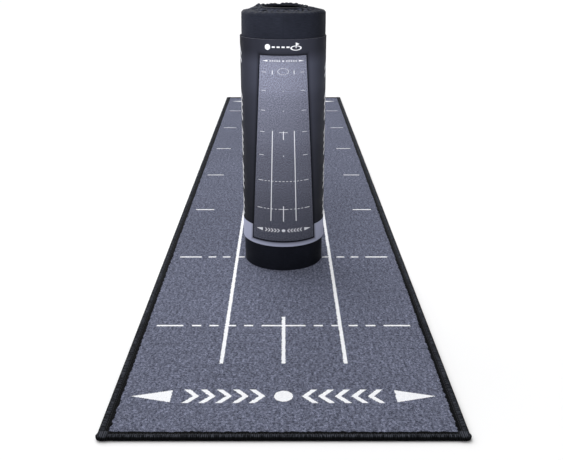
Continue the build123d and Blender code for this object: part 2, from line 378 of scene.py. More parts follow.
def marks_mask(paint, u, v, bold=1.0):
    """1 where the mat has white ink. u is across from the centre, v from the near edge."""
    row_pitch, first_row, thin, thick = 0.30, 0.010, 0.0023 * bold, 0.0030 * bold
    across = abs(u)
    to_row = (v - first_row).repeat(row_pitch / 2)
    row_one, row_two, row_four = (v.near(first_row + n * row_pitch, thin) for n in (1, 2, 4))
    seven_rows = v.near(first_row + 4 * row_pitch, 3.3 * row_pitch)
    end_ticks = paint.both(to_row.near(0.0, thin), seven_rows, across.near(0.1957, 0.0227))
    dashes = across.repeat(0.015).near(0.0, 0.0080)
    outer_dashes = paint.both(row_one, dashes, across.near(0.105, 0.055))
    all_dashes = paint.both(row_two, dashes, across.near(0.0, 0.160))
    bars = paint.both(paint.total(row_one, row_four), across.near(0.0, 0.038))
    stems = paint.total(v.near(0.2645, 0.0775), v.near(1.1700, 0.0550))
    centre_lines = paint.both(stems, across.near(0.0, thick))
    guides = paint.both(across.near(0.0975, thick), v.near(0.7085, 0.5215))
    dots = paint.both(paint.distance(across, to_row).near(0.0, 0.0042 * bold), v.near(1.36, 0.60))
    target_v, target_radius, ring_half = 2.128, 0.0540, 0.0021 * bold
    from_target = v - target_v
    angle = paint.math("ARCTAN2", from_target, across)
    ring_line = paint.distance(across, from_target).near(target_radius, ring_half)
    ring = paint.both(ring_line, angle.repeat(math.pi / 16).near(0.0, 0.135))
    flank_ticks = paint.both(across.near(0.109, thick), v.near(2.110, 0.033))
    plain = (end_ticks, outer_dashes, all_dashes, bars, centre_lines, guides, dots, ring, flank_ticks)
    near_motif = end_motif(paint, across, v, 0.098, 0.0170)
    far_motif = end_motif(paint, across, v, 2.308, 0.0140)
    return paint.total(*plain, *near_motif, *far_motif)


# ---------------------------------------------------------------- materials


def pile_material(name):
    """Short grey-blue pile, speckled tuft by tuft, with marks printed in white."""
    paint = Paint(name, roughness=0.95, specular=0.03, sheen=0.04, sheen_tint=(0.75, 0.8, 1.0))
    uv = paint.uv()
    u, v, _ = paint.split(uv)
    tufts = paint.noise(uv, 260.0, 3.0, 0.70, "2D")
    flecks = paint.noise(uv, 850.0, 2.0, 0.6, "2D")
    drift = paint.noise(uv, 9.0, 2.0, 0.5, "2D")
    mottle = paint.noise(paint.stretch(uv, 1.0, 0.5), 150.0, 1.0, 0.5, "2D")
    tuft_level = tufts * 0.55 + flecks * 0.45
    speckle = tuft_level.ramp((0.36, 0.0), (0.48, 0.33), (0.54, 0.55), (0.64, 1.0))
    grey = paint.mix(speckle, PILE_DARK, PILE_LIGHT)
    grey = paint.scaled(grey, drift.ramp((0.30, 0.96), (0.70, 1.03)))
    grey = paint.scaled(grey, mottle.ramp((0.28, 0.80), (0.72, 1.16)))
    # painted shade: a darker band across the mat beside the bag, where the bag shades it, and painted light
    # towards the far end
    painted_shade_along_mat = v / MAT_LENGTH
    grey = paint.scaled(grey, painted_shade_along_mat.ramp((0.14, 1.02), (0.31, 0.86), (0.52, 1.0), (0.92, 1.08)))
    # the ink's edge frays from tuft to tuft, and misses some flecks
    ink = marks_mask(paint, u + (tufts - 0.5) * 0.0045, v + (flecks - 0.5) * 0.0035)
    cover = ink * flecks.ramp((0.30, 0.80), (0.45, 1.0))
    paint.color(paint.mix(cover, grey, paint.mix(speckle, INK_DARK, INK_LIGHT)))
    paint.bump(tuft_level, 0.0011, 0.75)
    return paint.material


def tape_material(name, light=TAPE_LIGHT):
    """Black edge tape: ribs across it, fuzz and light fibres, with painted light along the top of its fold and
    painted shade down its sides.
    """
    paint = Paint(name, roughness=0.85, specular=0.05, sheen=0.04, sheen_tint=(0.7, 0.78, 1.0))
    uv = paint.uv()
    around, along, _ = paint.split(uv)
    rib = along.repeat(RIB_PITCH / 2) * (2.0 / RIB_PITCH)
    yarn = paint.noise(paint.stretch(uv, 110.0, 420.0), 1.0, 2.0, 0.65, "2D")
    fuzz = paint.noise(uv, 800.0, 3.0, 0.6, "2D")
    blotch = paint.noise(uv, 60.0, 3.0, 0.5, "2D")
    level = rib * 0.20 + (yarn * 0.75 + fuzz * 0.25) * 0.80
    color = paint.mix(level.ramp((0.40, 0.0), (0.50, 0.30), (0.62, 1.0)), TAPE_DARK, light)
    color = paint.scaled(color, blotch.ramp((0.3, 0.78), (0.7, 1.0)))
    # painted light and shade by distance round the folded tape: lit along the top of the fold, shaded down its
    # outer side and over its inner strip
    lit_crown = (around / 0.04).ramp((0.49, 0.10), (0.56, 1.0), (0.66, 0.95), (0.72, 0.08))
    paint.color(paint.scaled(color, lit_crown))
    paint.bump(level, 0.0006, 0.9)
    return paint.material


def grained_material(name, grain, dark, light, relief=None, **finish):
    """A plain material that wanders between two colours. grain is a noise's scale and detail."""
    paint = Paint(name, **finish)
    level = paint.noise(paint.object_coords(), *grain)
    paint.color(paint.mix(level, dark, light))
    if relief:
        paint.bump(level, *relief)
    return paint.material


def thread_material():
    """Twisted black sewing thread."""
    finish = {"roughness": 0.6, "specular": 0.2, "sheen": 0.05}
    return grained_material("thread", (2600.0, 2.0), THREAD_DARK, THREAD_LIGHT, (0.0002, 0.6), **finish)


def rubber_material():
    """Black rubber backing with an embossed grip of small cells."""
    paint = Paint("rubber_backing", roughness=0.75, specular=0.2)
    uv = paint.uv()
    dust = paint.noise(uv, 40.0, 4.0, 0.6, "2D")
    grip = paint.cells(uv, 260.0).ramp((0.15, 1.0), (0.5, 0.0))
    paint.color(paint.mix(dust * 0.25, paint.mix(grip, RUBBER_DARK, RUBBER_LIGHT), DUST))
    paint.roughness(dust.ramp((0.3, 0.62), (0.7, 0.85)))
    paint.bump(grip, 0.0004, 0.7)
    return paint.material


def nylon_material():
    """The bag's closely woven black fabric: a fine plain weave with a faint sheen."""
    half_yarn, crease_shade, ridge_highlight = 0.00045, 0.12, 2.10
    paint = Paint("bag_nylon", roughness=0.66, specular=0.03, sheen=0.02, sheen_tint=(0.72, 0.78, 1.0))
    uv = paint.uv()
    u, v, _ = paint.split(uv)
    _, _, height = paint.split(paint.object_coords())
    weave = (u.repeat(half_yarn) + v.repeat(half_yarn)) * 1100.0
    slub = paint.noise(paint.stretch(uv, 90.0, 900.0), 1.0, 2.0, 0.5, "2D")
    cloud = paint.noise(uv, 22.0, 3.0, 0.5, "2D")
    color = paint.mix(weave, NYLON_DARK, NYLON_LIGHT)
    color = paint.scaled(color, slub.ramp((0.3, 0.86), (0.7, 1.12)))
    color = paint.scaled(color, cloud.ramp((0.3, 0.9), (0.7, 1.08)))
    # painted shade: darker at the foot and down the right side
    color = paint.scaled(color, (height * 2.0).ramp((0.06, 0.60), (0.16, 0.70), (0.80, 1.0)))
    color = paint.scaled(color, (u * 4.0).ramp((0.20, 1.0), (0.34, 0.58), (0.46, 0.62), (0.80, 1.0)))
    # painted highlight along the ridges of folds, and painted shade in their creases
    ridge = Level(paint, paint.node("ShaderNodeAttribute", attribute_name="ridge").outputs["Fac"])
    lift = paint.node("ShaderNodeMapRange")
    paint.plug(lift.inputs["Value"], ridge)
    set_range(lift, -1.0, 1.0, crease_shade, ridge_highlight)
    paint.color(paint.scaled(color, Level(paint, lift.outputs["Result"])))
    paint.roughness(cloud.ramp((0.3, 0.52), (0.7, 0.66)))
    paint.bump(weave + slub * 0.4, 0.00012, 0.55)
    return paint.material


def sleeve_picture(paint, uv, s, h, rise, fade, color):
    """Adds the picture to the sleeve's print: the mat from its near end, so it narrows upward."""
    low, tall, half_low, half_high = 0.0125, 0.3625, 0.0675, 0.0445
    edge_side, edge_middle, edge_half, shadow_width = 1.040, 0.4975, 0.5065, 0.0070
    t = (h - low) / tall
    half = t * (half_high - half_low) + half_low
    across = s / half
    spread = 1 / half_high - 1 / half_low
    depth = (1.0 / half - 1 / half_low) / spread
    ink = marks_mask(paint, across * HALF_WIDTH, depth * MAT_LENGTH, bold=1.15)
    side = abs(across)
    inside = paint.both(side < 1.0, t.near(0.5, 0.5))
    border = paint.both(side < edge_side, t.near(edge_middle, edge_half))
    # a soft shadow printed round the picture
    beside = (side - edge_side) * half
    beyond = (abs(t - edge_middle) - edge_half) * tall
    outside = paint.math("MAXIMUM", beside, beyond) / shadow_width
    color = paint.scaled(color, outside.ramp((0.0, 0.30), (0.45, 0.76), (1.0, 1.0)))
    color = paint.mix(border, color, PICTURE_EDGE)
    grain = paint.noise(uv, 520.0, 3.0, 0.8, "2D").ramp((0.40, 0.0), (0.60, 1.0))
    picture = paint.scaled(paint.mix(grain, PICTURE_DARK, PICTURE_LIGHT), fade)
    white = paint.scaled(PRINT_WHITE, rise.ramp((0.0, 0.90), (0.6, 1.0)))
    return paint.mix(inside, color, paint.mix(ink, picture, white))


def pictogram(paint, s, h):
    """1 where the title's pictogram is: a ball, its dashed path and a hole with a flag."""
    middle, hole_s, flag_height, flag_half = 0.3905, 0.0240, 0.0053, 0.0027
    title = h - middle
    ball = paint.distance((s + 0.0290) / 0.0052, title / 0.0052) < 1.0
    dashes = (s + 0.0180).repeat(0.0045).near(0.0, 0.0028)
    path = paint.both(dashes, abs(title).near(0.0, 0.0013), s.near(-0.0045, 0.0165))
    from_pole = s - hole_s
    hole = paint.distance(from_pole / 0.0105, (title + 0.0018) / 0.0042).near(0.90, 0.14)
    pole = paint.both(s.near(hole_s, 0.0007), title.near(0.0030, 0.0050))
    flag_width = (flag_half - abs(title - flag_height)) * 2.4
    flag = paint.both(from_pole > 0.0, from_pole < flag_width)
    return paint.total(ball, path, hole, pole, flag)


def side_chevrons(paint, s, h):
    """1 where the plain chevrons are, in groups up each side of the sleeve."""
    slope, pitch, stripe_half, half_width = 0.9, 0.0070, 0.0030, 0.0235
    from_side = abs(abs(s) - SLEEVE_OUTER * math.pi / 2)
    climb = h + from_side * slope
    steps = climb.repeat(pitch).near(0.0, stripe_half)
    groups = [climb.near(centre, 0.0245) for centre in (0.287, 0.217, 0.147)]
    groups += [climb.near(0.084, 0.0210)]
    groups += [paint.both(s < 0.0, climb.near(0.385, 0.0105)), paint.both(s > 0.0, climb.near(0.357, 0.0105))]
    return paint.both(steps, from_side.near(0.0, half_width), paint.total(*groups))


def sleeve_material():
    """The card sleeve's print: charcoal, fading down, with a picture of the mat and a pale foot band."""
    foot_height, print_width = 0.0390, 0.26
    paint = Paint("sleeve_print", roughness=0.6, specular=0.03)
    uv = paint.uv()
    s, h, _ = paint.split(uv)
    fine = paint.noise(uv, 1500.0, 2.0, 0.5, "2D")
    rise = h / SLEEVE_HEIGHT
    fade = rise.ramp((0.0, 0.34), (0.12, 0.37), (0.42, 0.51), (0.60, 0.67),
                     (0.71, 0.74), (0.80, 0.95), (0.88, 0.96), (0.955, 0.47))
    # painted shade: darker towards both sides of the sleeve, most on the left
    sides = (s / print_width + 0.5).ramp((0.02, 0.38), (0.16, 0.46), (0.30, 0.72), (0.42, 0.94),
                                         (0.60, 1.0), (0.70, 0.95), (0.84, 0.56), (0.98, 0.48))
    charcoal = paint.scaled(paint.mix(fine, CHARCOAL_DARK, CHARCOAL_LIGHT), fade)
    color = paint.mix(h < foot_height, paint.scaled(charcoal, sides), FOOT_BAND)
    color = sleeve_picture(paint, uv, s, h, rise, fade, color)
    white = paint.total(pictogram(paint, s, h), side_chevrons(paint, s, h))
    paint.color(paint.mix(white, color, PRINT_WHITE))
    paint.roughness(paint.noise(uv, 30.0, 3.0, 0.5, "2D").ramp((0.3, 0.52), (0.7, 0.64)))
    paint.bump(fine, 0.00003, 0.4)
    return paint.material


def card_edge_material():
    """The cut edge of grey board."""
    colors = (0.10, 0.10, 0.12), (0.20, 0.20, 0.23)
    return grained_material("card_edge", (900.0, 3.0), *colors, (0.0001, 0.5), roughness=0.85, specular=0.2)


def glue_material():
    """Dried glue film, seen only as a thin line."""
    colors = (0.30, 0.27, 0.20), (0.42, 0.39, 0.31)
    return grained_material("glue_film", (220.0, 2.0), *colors, roughness=0.35, specular=0.5)


# ---------------------------------------------------------------- mesh helpers


def build(name, vertices, faces, uvs, materials, sharp_degrees=40.0):
    """A smooth-shaded mesh object with one UV for each vertex."""
    mesh = bpy.data.meshes.new(name)
    mesh.from_pydata(vertices, [], faces)
    layer = mesh.uv_layers.new(name="lay")
    for loop in mesh.loops:
        layer.data[loop.index].uv = uvs[loop.vertex_index]
    for material in materials:
        mesh.materials.append(material)
    mesh.shade_smooth()
    mesh.set_sharp_from_angle(angle=math.radians(sharp_degrees))
    mesh.update()
    return add_object(mesh)


def fit(piece, slot, node, body):
    """Hides the CAD node that a piece replaces and rides the piece on its body. slot, what the piece is made
    of, is not used.
    """
    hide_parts(node)
    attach(piece, body)


def tube_faces(first, rings, count, closed=False):
    """The faces of a tube whose points start at first. Its ends are capped, or joined if closed."""
    faces = []
    for i in range(rings if closed else rings - 1):
        here, there = first + i * count, first + (i + 1) % rings * count
        for j in range(count):
            k = (j + 1) % count
            faces.append((here + j, here + k, there + k, there + j))
    if not closed:
        last = first + (rings - 1) * count
        faces.append(tuple(first + j for j in range(count - 1, -1, -1)))
        faces.append(tuple(last + j for j in range(count)))
    return faces


def sweep(name, rings, ring_uvs, materials, closed=False, sharp_degrees=40.0):
    """A tube through rings of points, each ring a closed outline."""
    vertices = [point for ring in rings for point in ring]
    uvs = [uv for ring in ring_uvs for uv in ring]
    faces = tube_faces(0, len(rings), len(rings[0]), closed)
    return build(name, vertices, faces, uvs, materials, sharp_degrees)


def spaced(start, stop, step):
    """Evenly spaced values from start to stop, about one step apart."""
    count = max(1, round(abs(stop - start) / step))
    return [start + (stop - start) * i / count for i in range(count + 1)]


def wander(x, y, z, size):
    """Smooth noise from -1 to 1 that changes over about one size."""
    return noise.noise(Vector((x / size, y / size, z / size)) + Vector((SEED, 3.1, 5.7)))


def about_bag(radius, theta, z):
    """A point about the bag's axis. theta is 0 at the front."""
    return radius * math.sin(theta), BAG_Y - radius * math.cos(theta), z


def wander_round(theta, radius, z, size):
    """Smooth noise round a circle, which meets itself after a whole turn."""
    return wander(math.cos(theta) * radius, math.sin(theta) * radius, z, size)


# ---------------------------------------------------------------- the mat

# A length of the mat is (name, y from, y to, move, owner). Its move is a body's name, or two bodies'
# names for a length that bends across a hinge. Its owner is the body whose CAD nodes it replaces.


def mat_lengths():
    """The root length, one bending length over each hinge, and the last half strip."""
    lengths = [("flat", NEAR_EDGE, HINGES[0], "mat", "mat")]
    for index, hinge in enumerate(HINGES):
        before = "mat" if index == 0 else f"strip_{index}"
        after = f"strip_{index + 1}"
        start = hinge if index == 0 else hinge - HALF_STRIP
        lengths.append((f"bend_{index + 1}", start, hinge + HALF_STRIP, (before, after), after))
    last = f"strip_{STRIPS}"
    lengths.append(("end", HINGES[-1] + HALF_STRIP, FAR_EDGE, last, last))
    return lengths


def move_with(piece, move, y_from, y_to):
    """Rides a length of the mat on its body; a length between two bodies stays where it is, unattached."""
    if isinstance(move, tuple):
        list(move)
        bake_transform(piece)
    else:
        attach(piece, move)


def stands_for(owner, part):
    """Hides the CAD node that a length of the mat replaces."""
    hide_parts(f"{owner}_{part}")


def pile_height(x, y):
    """The pile's top: level, dipping where the tape's edge presses it down."""
    to_side = HALF_WIDTH - TAPE_REACH - abs(x)
    to_end = min(y - NEAR_EDGE, FAR_EDGE - y) - TAPE_REACH
    edge = min(to_side, to_end)
    dip = 0.0007 * math.exp(-max(edge, 0.0) / 0.0022)
    return PILE_TOP - dip + 0.00006 * wander(x, y, 0.0, 0.05)


def inset(y_from, y_to, margin):
    """A length's start and stop, held in from the mat's own ends by a margin."""
    return y_from + (margin if y_from == NEAR_EDGE else 0.0), y_to - (margin if y_to == FAR_EDGE else 0.0)


def mat_layer(lengths, part, material, reach, margin, step, ring_at, fine_ends=False):
    """One layer of the mat in lengths, as closed slabs. ring_at gives its outline at a y."""
    fine, fine_count = 0.002, 6
    pieces = {}
    for name, y_from, y_to, move, owner in lengths:
        start, stop = inset(y_from, y_to, margin)
        stations = spaced(start, stop, BEND_STEP if isinstance(move, tuple) else step)
        if fine_ends and y_from == NEAR_EDGE:
            stations = [start + fine * i for i in range(fine_count)] + stations[1:]
        if fine_ends and y_to == FAR_EDGE:
            stations = stations[:-1] + [stop - fine * i for i in reversed(range(fine_count))]
        rings = [ring_at(y) for y in stations]
        ring_uvs = [[(x, y - NEAR_EDGE) for x, y, _ in ring] for ring in rings]
        piece = sweep(f"{part}_{name}", rings, ring_uvs, [material])
        stands_for(owner, part)
        move_with(piece, move, y_from, y_to)
        pieces[name] = (piece, (2 * reach, stop - start))
    return pieces


def make_pile(lengths, material):
    """The printed pile, which reaches just under the tape."""
    reach = HALF_WIDTH - TAPE_REACH + PILE_TUCK
    across = [0.002 * i for i in range(6)] + spaced(0.012, reach, 0.016)
    across = sorted({round(s * (reach - a), 6) for a in across for s in (-1, 1)})

    def ring_at(y):
        top = [(x, y, pile_height(x, y)) for x in across]
        return top + [(x, y, BACKING_TOP) for x in (across[-1], across[0])]

    margin = TAPE_REACH - PILE_TUCK
    return mat_layer(lengths, "pile", material, reach, margin, 0.012, ring_at, fine_ends=True)


def make_backing(lengths, material):
    """The rubber backing, up to the tape's inner edge."""
    reach = HALF_WIDTH - TAPE_REACH
    across = spaced(-reach, reach, 0.05)

    def ring_at(y):
        return [(x, y, BACKING_TOP) for x in across] + [(x, y, 0.0) for x in reversed(across)]

    return mat_layer(lengths, "backing", material, reach, TAPE_REACH, 0.05, ring_at)


def tape_outline(along, hand):
    """The folded tape's section, (inward, up) from the mat's edge, ribbed across and a little uneven."""
    rib = math.cos(2 * math.pi * along / RIB_PITCH)
    uneven = along + hand
    swell = 0.00022 * wander(uneven, 0.0, 0.0, 0.030) + 0.00010 * wander(uneven, 0.4, 0.0, 0.004)
    swell -= 0.00018 * rib
    creep = 0.0005 * wander(uneven, 0.0, 0.7, 0.045) + 0.0022 * wander(uneven, 0.3, 0.2, 0.0055)
    creep -= 0.0004 * rib
    out = 0.00010 * rib
    outside = [
        (TAPE_REACH, 0.0000), (0.0080, 0.0000), (0.0024, 0.0000), (0.0008 + out, 0.0005),
        (out, 0.0016), (out, 0.0033), (0.0007 + out, 0.0048 + swell), (0.0020, 0.0058 + swell),
        (0.0040, 0.0064 + swell), (0.0060, 0.0064 + swell), (0.0078, 0.0059 + swell),
        (0.0092, 0.0051 + swell / 2), (0.0101, 0.0046), (0.0110, 0.0047),
        (0.0128, 0.0051 + swell / 2), (0.0145 + creep, 0.0052), (0.0152 + creep, 0.0049),
    ]
    inside = [
        (0.0150 + creep, 0.0043), (0.0080, 0.0043), (0.0010, 0.0043), (0.0010, 0.0007), (TAPE_REACH, 0.0007),
    ]
    return outside + inside


def outline_lengths(outline):
    """How far each point of an outline is round it."""
    total, result = 0.0, []
    for index, point in enumerate(outline):
        if index:
            previous = outline[index - 1]
            total += math.hypot(point[0] - previous[0], point[1] - previous[1])
        result.append(total)
    return result


def tape_piece(name, start, inward, along, stations, material):
    """A run of tape: stations are distances along it from start."""
    rings, ring_uvs = [], []
    origin, into, run = Vector(start), Vector(inward), Vector(along)
    for distance in stations:
        base = origin + run * distance
        place = base.y if abs(run.y) > 0.5 else base.x + 5.0
        outline = tape_outline(place, 0.0 if into.x + into.y > 0 else 9.0)
        rings.append([tuple(base + into * a + Vector((0.0, 0.0, z))) for a, z in outline])
        ring_uvs.append([(round_it, place) for round_it in outline_lengths(outline)])
    piece = sweep(name, rings, ring_uvs, [material], sharp_degrees=60.0)
    return piece


def stitches(name, points, direction, material):
    """A row of stitches: short thread loops, each rising out of the tape and down again."""
    run = Vector(direction)
    side = run.cross(Vector((0.0, 0.0, 1.0)))
    up = Vector((0.0, 0.0, 1.0))
    sections, sides, radius, length = 6, 6, 0.00042, 0.0036
    vertices, faces, uvs = [], [], []
    for point in points:
        base = len(vertices)
        for i in range(sections + 1):
            t = i / sections
            arch = math.sin(math.pi * t)
            centre = Vector(point) + run * length * (t - 0.5) + up * (0.00055 * arch - 0.00035)
            thick = radius * (0.55 + 0.45 * arch)
            for j in range(sides):
                turn = 2 * math.pi * j / sides
                vertices.append(tuple(centre + side * thick * math.cos(turn) + up * thick * math.sin(turn)))
                uvs.append((j / sides * 0.001, t * 0.004))
        faces += tube_faces(base, sections + 1, sides)
    piece = build(name, vertices, faces, uvs, [material])
    return piece


def make_binding(lengths, tape, corner_tape, thread):
    """Tape and stitches along both sides in lengths, across both ends, and over the corners."""
    pieces = {name: [] for name, *_ in lengths}
    for side, word in ((1, "right"), (-1, "left")):
        for name, y_from, y_to, move, owner in lengths:
            y_start, y_stop = inset(y_from, y_to, CORNER_TUCK)
            stations = [y - y_start for y in spaced(y_start, y_stop, RIB_PITCH / 3)]
            start = (side * HALF_WIDTH, y_start, 0.0)
            piece = tape_piece(f"tape_{word}_{name}", start, (-side, 0, 0), (0, 1, 0), stations, tape)
            stands_for(owner, f"binding_{word}")
            move_with(piece, move, y_from, y_to)
            sewn_from, sewn_to = inset(y_from, y_to, TAPE_REACH)
            numbers = range(math.ceil(sewn_from / STITCH_PITCH), math.floor(sewn_to / STITCH_PITCH) + 1)
            x = side * (HALF_WIDTH - STITCH_IN)
            rows = [(x, STITCH_PITCH * i, STITCH_HEIGHT) for i in numbers if STITCH_PITCH * i < y_to]
            sewn = stitches(f"stitches_{word}_{name}", rows, (0, 1, 0), thread)
            move_with(sewn, move, y_from, y_to)
            pieces[name] += [piece, sewn]
    span = HALF_WIDTH - TAPE_REACH + 0.0015
    ends = (("near", NEAR_EDGE, 1, "mat"), ("far", FAR_EDGE, -1, f"strip_{STRIPS}"))
    for word, edge, inward, body in ends:
        stations = spaced(0.0, 2 * span, RIB_PITCH / 5)
        piece = tape_piece(f"tape_{word}", (-span, edge, 0.0), (0, inward, 0), (1, 0, 0), stations, tape)
        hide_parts(f"mat_binding_{word}")
        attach(piece, body)
        places = spaced(-span + 0.004, span - 0.004, STITCH_PITCH)
        rows = [(x, edge + inward * STITCH_IN, STITCH_HEIGHT) for x in places]
        sewn = stitches(f"stitches_{word}", rows, (1, 0, 0), thread)
        folds = [corner_fold(f"corner_{word}_{hand}", side, edge, inward, corner_tape)
                 for side, hand in ((1, "right"), (-1, "left"))]
        for extra in (sewn, *folds):
            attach(extra, body)
        pieces["flat" if word == "near" else "end"] += [piece, sewn, *folds]
    return pieces


def corner_fold(name, side, edge, inward, material):
    """The end tape's own end, turned in over the corner: a rounded lump, ribbed like the tape."""
    rings, ring_uvs = [], []
    length, half_deep, half_tall, overhang = 0.0180, 0.0088, 0.0037, 0.0012
    around = steps = 32
    for i in range(steps + 1):
        t = i / steps
        closing = max(0.0, 1 - t / 0.46)
        fullness = max(0.03, 1 - closing**2.1) ** 0.5
        if t > 0.86:
            fullness *= 1 - 0.45 * ((t - 0.86) / 0.14) ** 2
        x = HALF_WIDTH + 0.0009 - t * length
        rib = 0.00013 * math.cos(2 * math.pi * x / RIB_PITCH)
        ring, uvs = [], []
        for j in range(around):
            turn = 2 * math.pi * j / around
            c, s = math.cos(turn), math.sin(turn)
            deep = math.copysign(abs(c) ** 0.72, c) * (half_deep * fullness + rib)
            tall = math.copysign(abs(s) ** 0.80, s) * (half_tall * (0.25 + 0.75 * fullness) + rib)
            dent = 0.0005 * wander(x * 3, turn, side * 2.0 + inward, 0.9) * (1 if tall > 0 else 0)
            y = edge + inward * (half_deep - overhang + deep)
            ring.append((side * x, y, max(0.0, half_tall - 0.0004 + tall + dent)))
            # painted light: the top middle of the lump takes the tape's lit part, its flanks and ends the
            # shaded part
            lit_crown = max(0.0, s) ** 1.5 * (1 - abs(2 * t - 1) ** 3)
            uvs.append((0.0180 + 0.0058 * lit_crown, x + 5.0))
        rings.append(ring)
        ring_uvs.append(uvs)
    piece = sweep(name, rings, ring_uvs, [material], sharp_degrees=75.0)
    return piece


def declare_mat(piles, backings, edges):
    """Goes through each length's pile and backing, and does nothing more. edges, the edge tape on the pile, is
    not used.
    """
    for name, (pile, flat) in piles.items():
        backing, backing_flat = backings[name]


# ---------------------------------------------------------------- the bag


def turned(name, profile, material, segments, shift):
    """A shell about the bag's axis. profile is (radius, height, round-it) points; shift moves each one."""
    rings, ring_uvs = [], []
    for i in range(segments):
        theta = 2 * math.pi * i / segments
        ring, uvs = [], []
        for radius, z, distance in profile:
            r, h = shift(radius, z, theta)
            ring.append(about_bag(r, theta, h))
            uvs.append((theta * BAG_RADIUS, distance))
        rings.append(ring)
        ring_uvs.append(uvs)
    return sweep(name, rings, ring_uvs, [material], closed=True, sharp_degrees=70.0)


def bag_piece(name, node, outline, material, segments, shift):
    """One fabric piece of the bag, turned from its (radius, height) outline."""
    piece = turned(name, measured(outline), material, segments, shift)
    fit(piece, "bag_fabric", node, "bag")
    return piece


def measured(points):
    """Adds to each (radius, height) its distance along the outline."""
    return [(r, z, d) for (r, z), d in zip(points, outline_lengths(points))]


def make_folds(count, seed):
    """Gathers of the collar: each one's angle, height, reach out towards the rim, and lean."""
    draw = random.Random(seed)
    folds = []
    for index in range(count):
        angle = 2 * math.pi * (index + draw.uniform(-0.36, 0.36)) / count
        folds.append((angle, draw.uniform(0.35, 1.0), draw.uniform(0.60, 1.30), draw.uniform(-0.34, 0.34)))
    return folds


SMALL_FOLDS = make_folds(27, SEED)
LARGE_FOLDS = make_folds(10, SEED + 4)


def fold_height(theta, share, folds):
    """How high one set of gathers stands, 0 to 1."""
    count = len(folds)
    nearest = round(theta / (2 * math.pi) * count)
    highest = 0.0
    for index in range(nearest - 3, nearest + 4):
        angle, height, reach, lean = folds[index % count]
        away = theta - angle - lean * (1 - share)
        away = (away + math.pi) % (2 * math.pi) - math.pi
        across = abs(away) / (math.pi / count * (1.0 + 0.7 * (1 - share)))
        if across < 1:
            rise = min(1.0, max(0.0, (share - 1 + reach) / reach))
            rise = rise * rise * (3 - 2 * rise)
            highest = max(highest, height * rise * (1 - across**2.1))
    return highest


def gather(theta, share):
    """How high the gathers stand, 0 to 1. share runs from 0 at the rim to 1 at the mouth."""
    return 0.62 * fold_height(theta, share, SMALL_FOLDS) + 0.38 * fold_height(theta, share, LARGE_FOLDS)


def make_bag(nylon):
    """The bag: base, piping, wall, gathered collar and hem; its back seam and elastic are not made here."""
    wall_outer = BAG_RADIUS - FABRIC_GAP
    low, high = wall_low.z, WALL_END

    def wall_shift(radius, z, theta):
        slack = 0.00028 * wander_round(theta, 2, z * 9, 0.45)
        near_rim = math.exp(-(high - z) / 0.012)
        tucks = 0.0005 * near_rim * (1 - gather(theta, 0.35))
        near_foot = math.exp(-(z - low) / 0.012)
        return radius + slack - tucks - 0.0004 * near_foot, z

    heights = spaced(low, low + 0.020, 0.003) + spaced(low + 0.030, high - 0.030, 0.020)
    heights += spaced(high - 0.024, high, 0.002)
    outside = [(wall_outer, z) for z in heights]
    inside = [(wall_outer - FABRIC, z) for z in (heights[-1], heights[len(heights) // 2], heights[0])]
    wall = bag_piece("bag_wall_cloth", "bag_wall", outside + inside, nylon, 220, wall_shift)

    def base_shift(radius, z, theta):
        return radius, z + 0.00005 * wander_round(theta, radius, 0.0, 0.01)

    base_low, base_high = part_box("bag_base")
    reach = (base_high.x - base_low.x) / 2
    outline = [(r, base_low.z) for r in spaced(0.0004, reach, 0.008)]
    outline += [(r, base_high.z) for r in spaced(reach, 0.0004, 0.008)]
    base = bag_piece("bag_base_panel", "bag_base", outline, nylon, 96, base_shift)

    def piping_shift(radius, z, theta):
        rope = 0.00008 * math.sin(120 * theta)
        return radius + rope, z

    pipe_low, pipe_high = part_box("bag_base_piping")
    centre_z, half_h, half_w = (pipe_low.z + pipe_high.z) / 2, (pipe_high.z - pipe_low.z) / 2, 0.0011
    centre_r = BAG_RADIUS - half_w - FABRIC_GAP
    turns = [2 * math.pi * i / 12 for i in range(12)]
    outline = [(centre_r + half_w * math.cos(a), centre_z + half_h * math.sin(a)) for a in turns]
    piping = bag_piece("bag_piping_cord", "bag_base_piping", outline, nylon, 240, piping_shift)

    collar = collar_cloth(settled_collar(), nylon)
    fit(collar, "bag_fabric", "bag_collar", "bag")

    def hem_shift(radius, z, theta):
        radius_here, z_here = mouth_line(theta)
        stand = gather(theta, 1.0)
        swell = 0.88 + 0.24 * stand + 0.06 * wander_round(theta, 1, 0.0, 0.03)
        return radius_here - 0.0021 + radius * swell, z_here - 0.0004 + z * swell

    turns = [2 * math.pi * i / 14 for i in range(14)]
    outline = [(HEM_RADIUS * math.cos(a), HEM_RADIUS * math.sin(a)) for a in turns]
    hem = bag_piece("bag_hem_cloth", "bag_mouth_hem", outline, nylon, 900, hem_shift)


def mouth_line(theta):
    """The gathered mouth's line, as its radius and height: folds stand up and lean out, lower at the front."""
    stand = gather(theta, 1.0)
    radius = HEM_OUTER + 0.0004 + 0.0026 * (stand - 0.4)
    radius += 0.0006 * wander_round(theta, 1, 5.0, 0.35)
    height = RIM_TOP - 0.0010 + GATHER_HEIGHT * (stand - 0.40) - MOUTH_TILT * math.cos(theta)
    return radius, height


def rim_line(theta):
    """The collar's outer line, on top of the shoulder, as its radius and height."""
    pull = gather(theta, 0.30)
    radius = BAG_RADIUS - FABRIC_GAP - SHOULDER_BEND - 0.0008 * (1 - pull)
    return radius, WALL_END + SHOULDER_BEND + 0.0012 * (pull - 0.25)


def crumple(theta, share):
    """Creases finer than the simulated cloth can fold: 0 between them and -1 at their bottoms."""
    lowest = 0.0
    for lean, size, layer in ((0.14, 0.0105, 0.4), (-0.24, 0.0150, 0.9)):
        turn = theta + lean * share
        line = wander_round(turn, BAG_RADIUS, layer + 0.011 * share, size)
        lowest = min(lowest, abs(line) / 0.20 - 1)
    return lowest


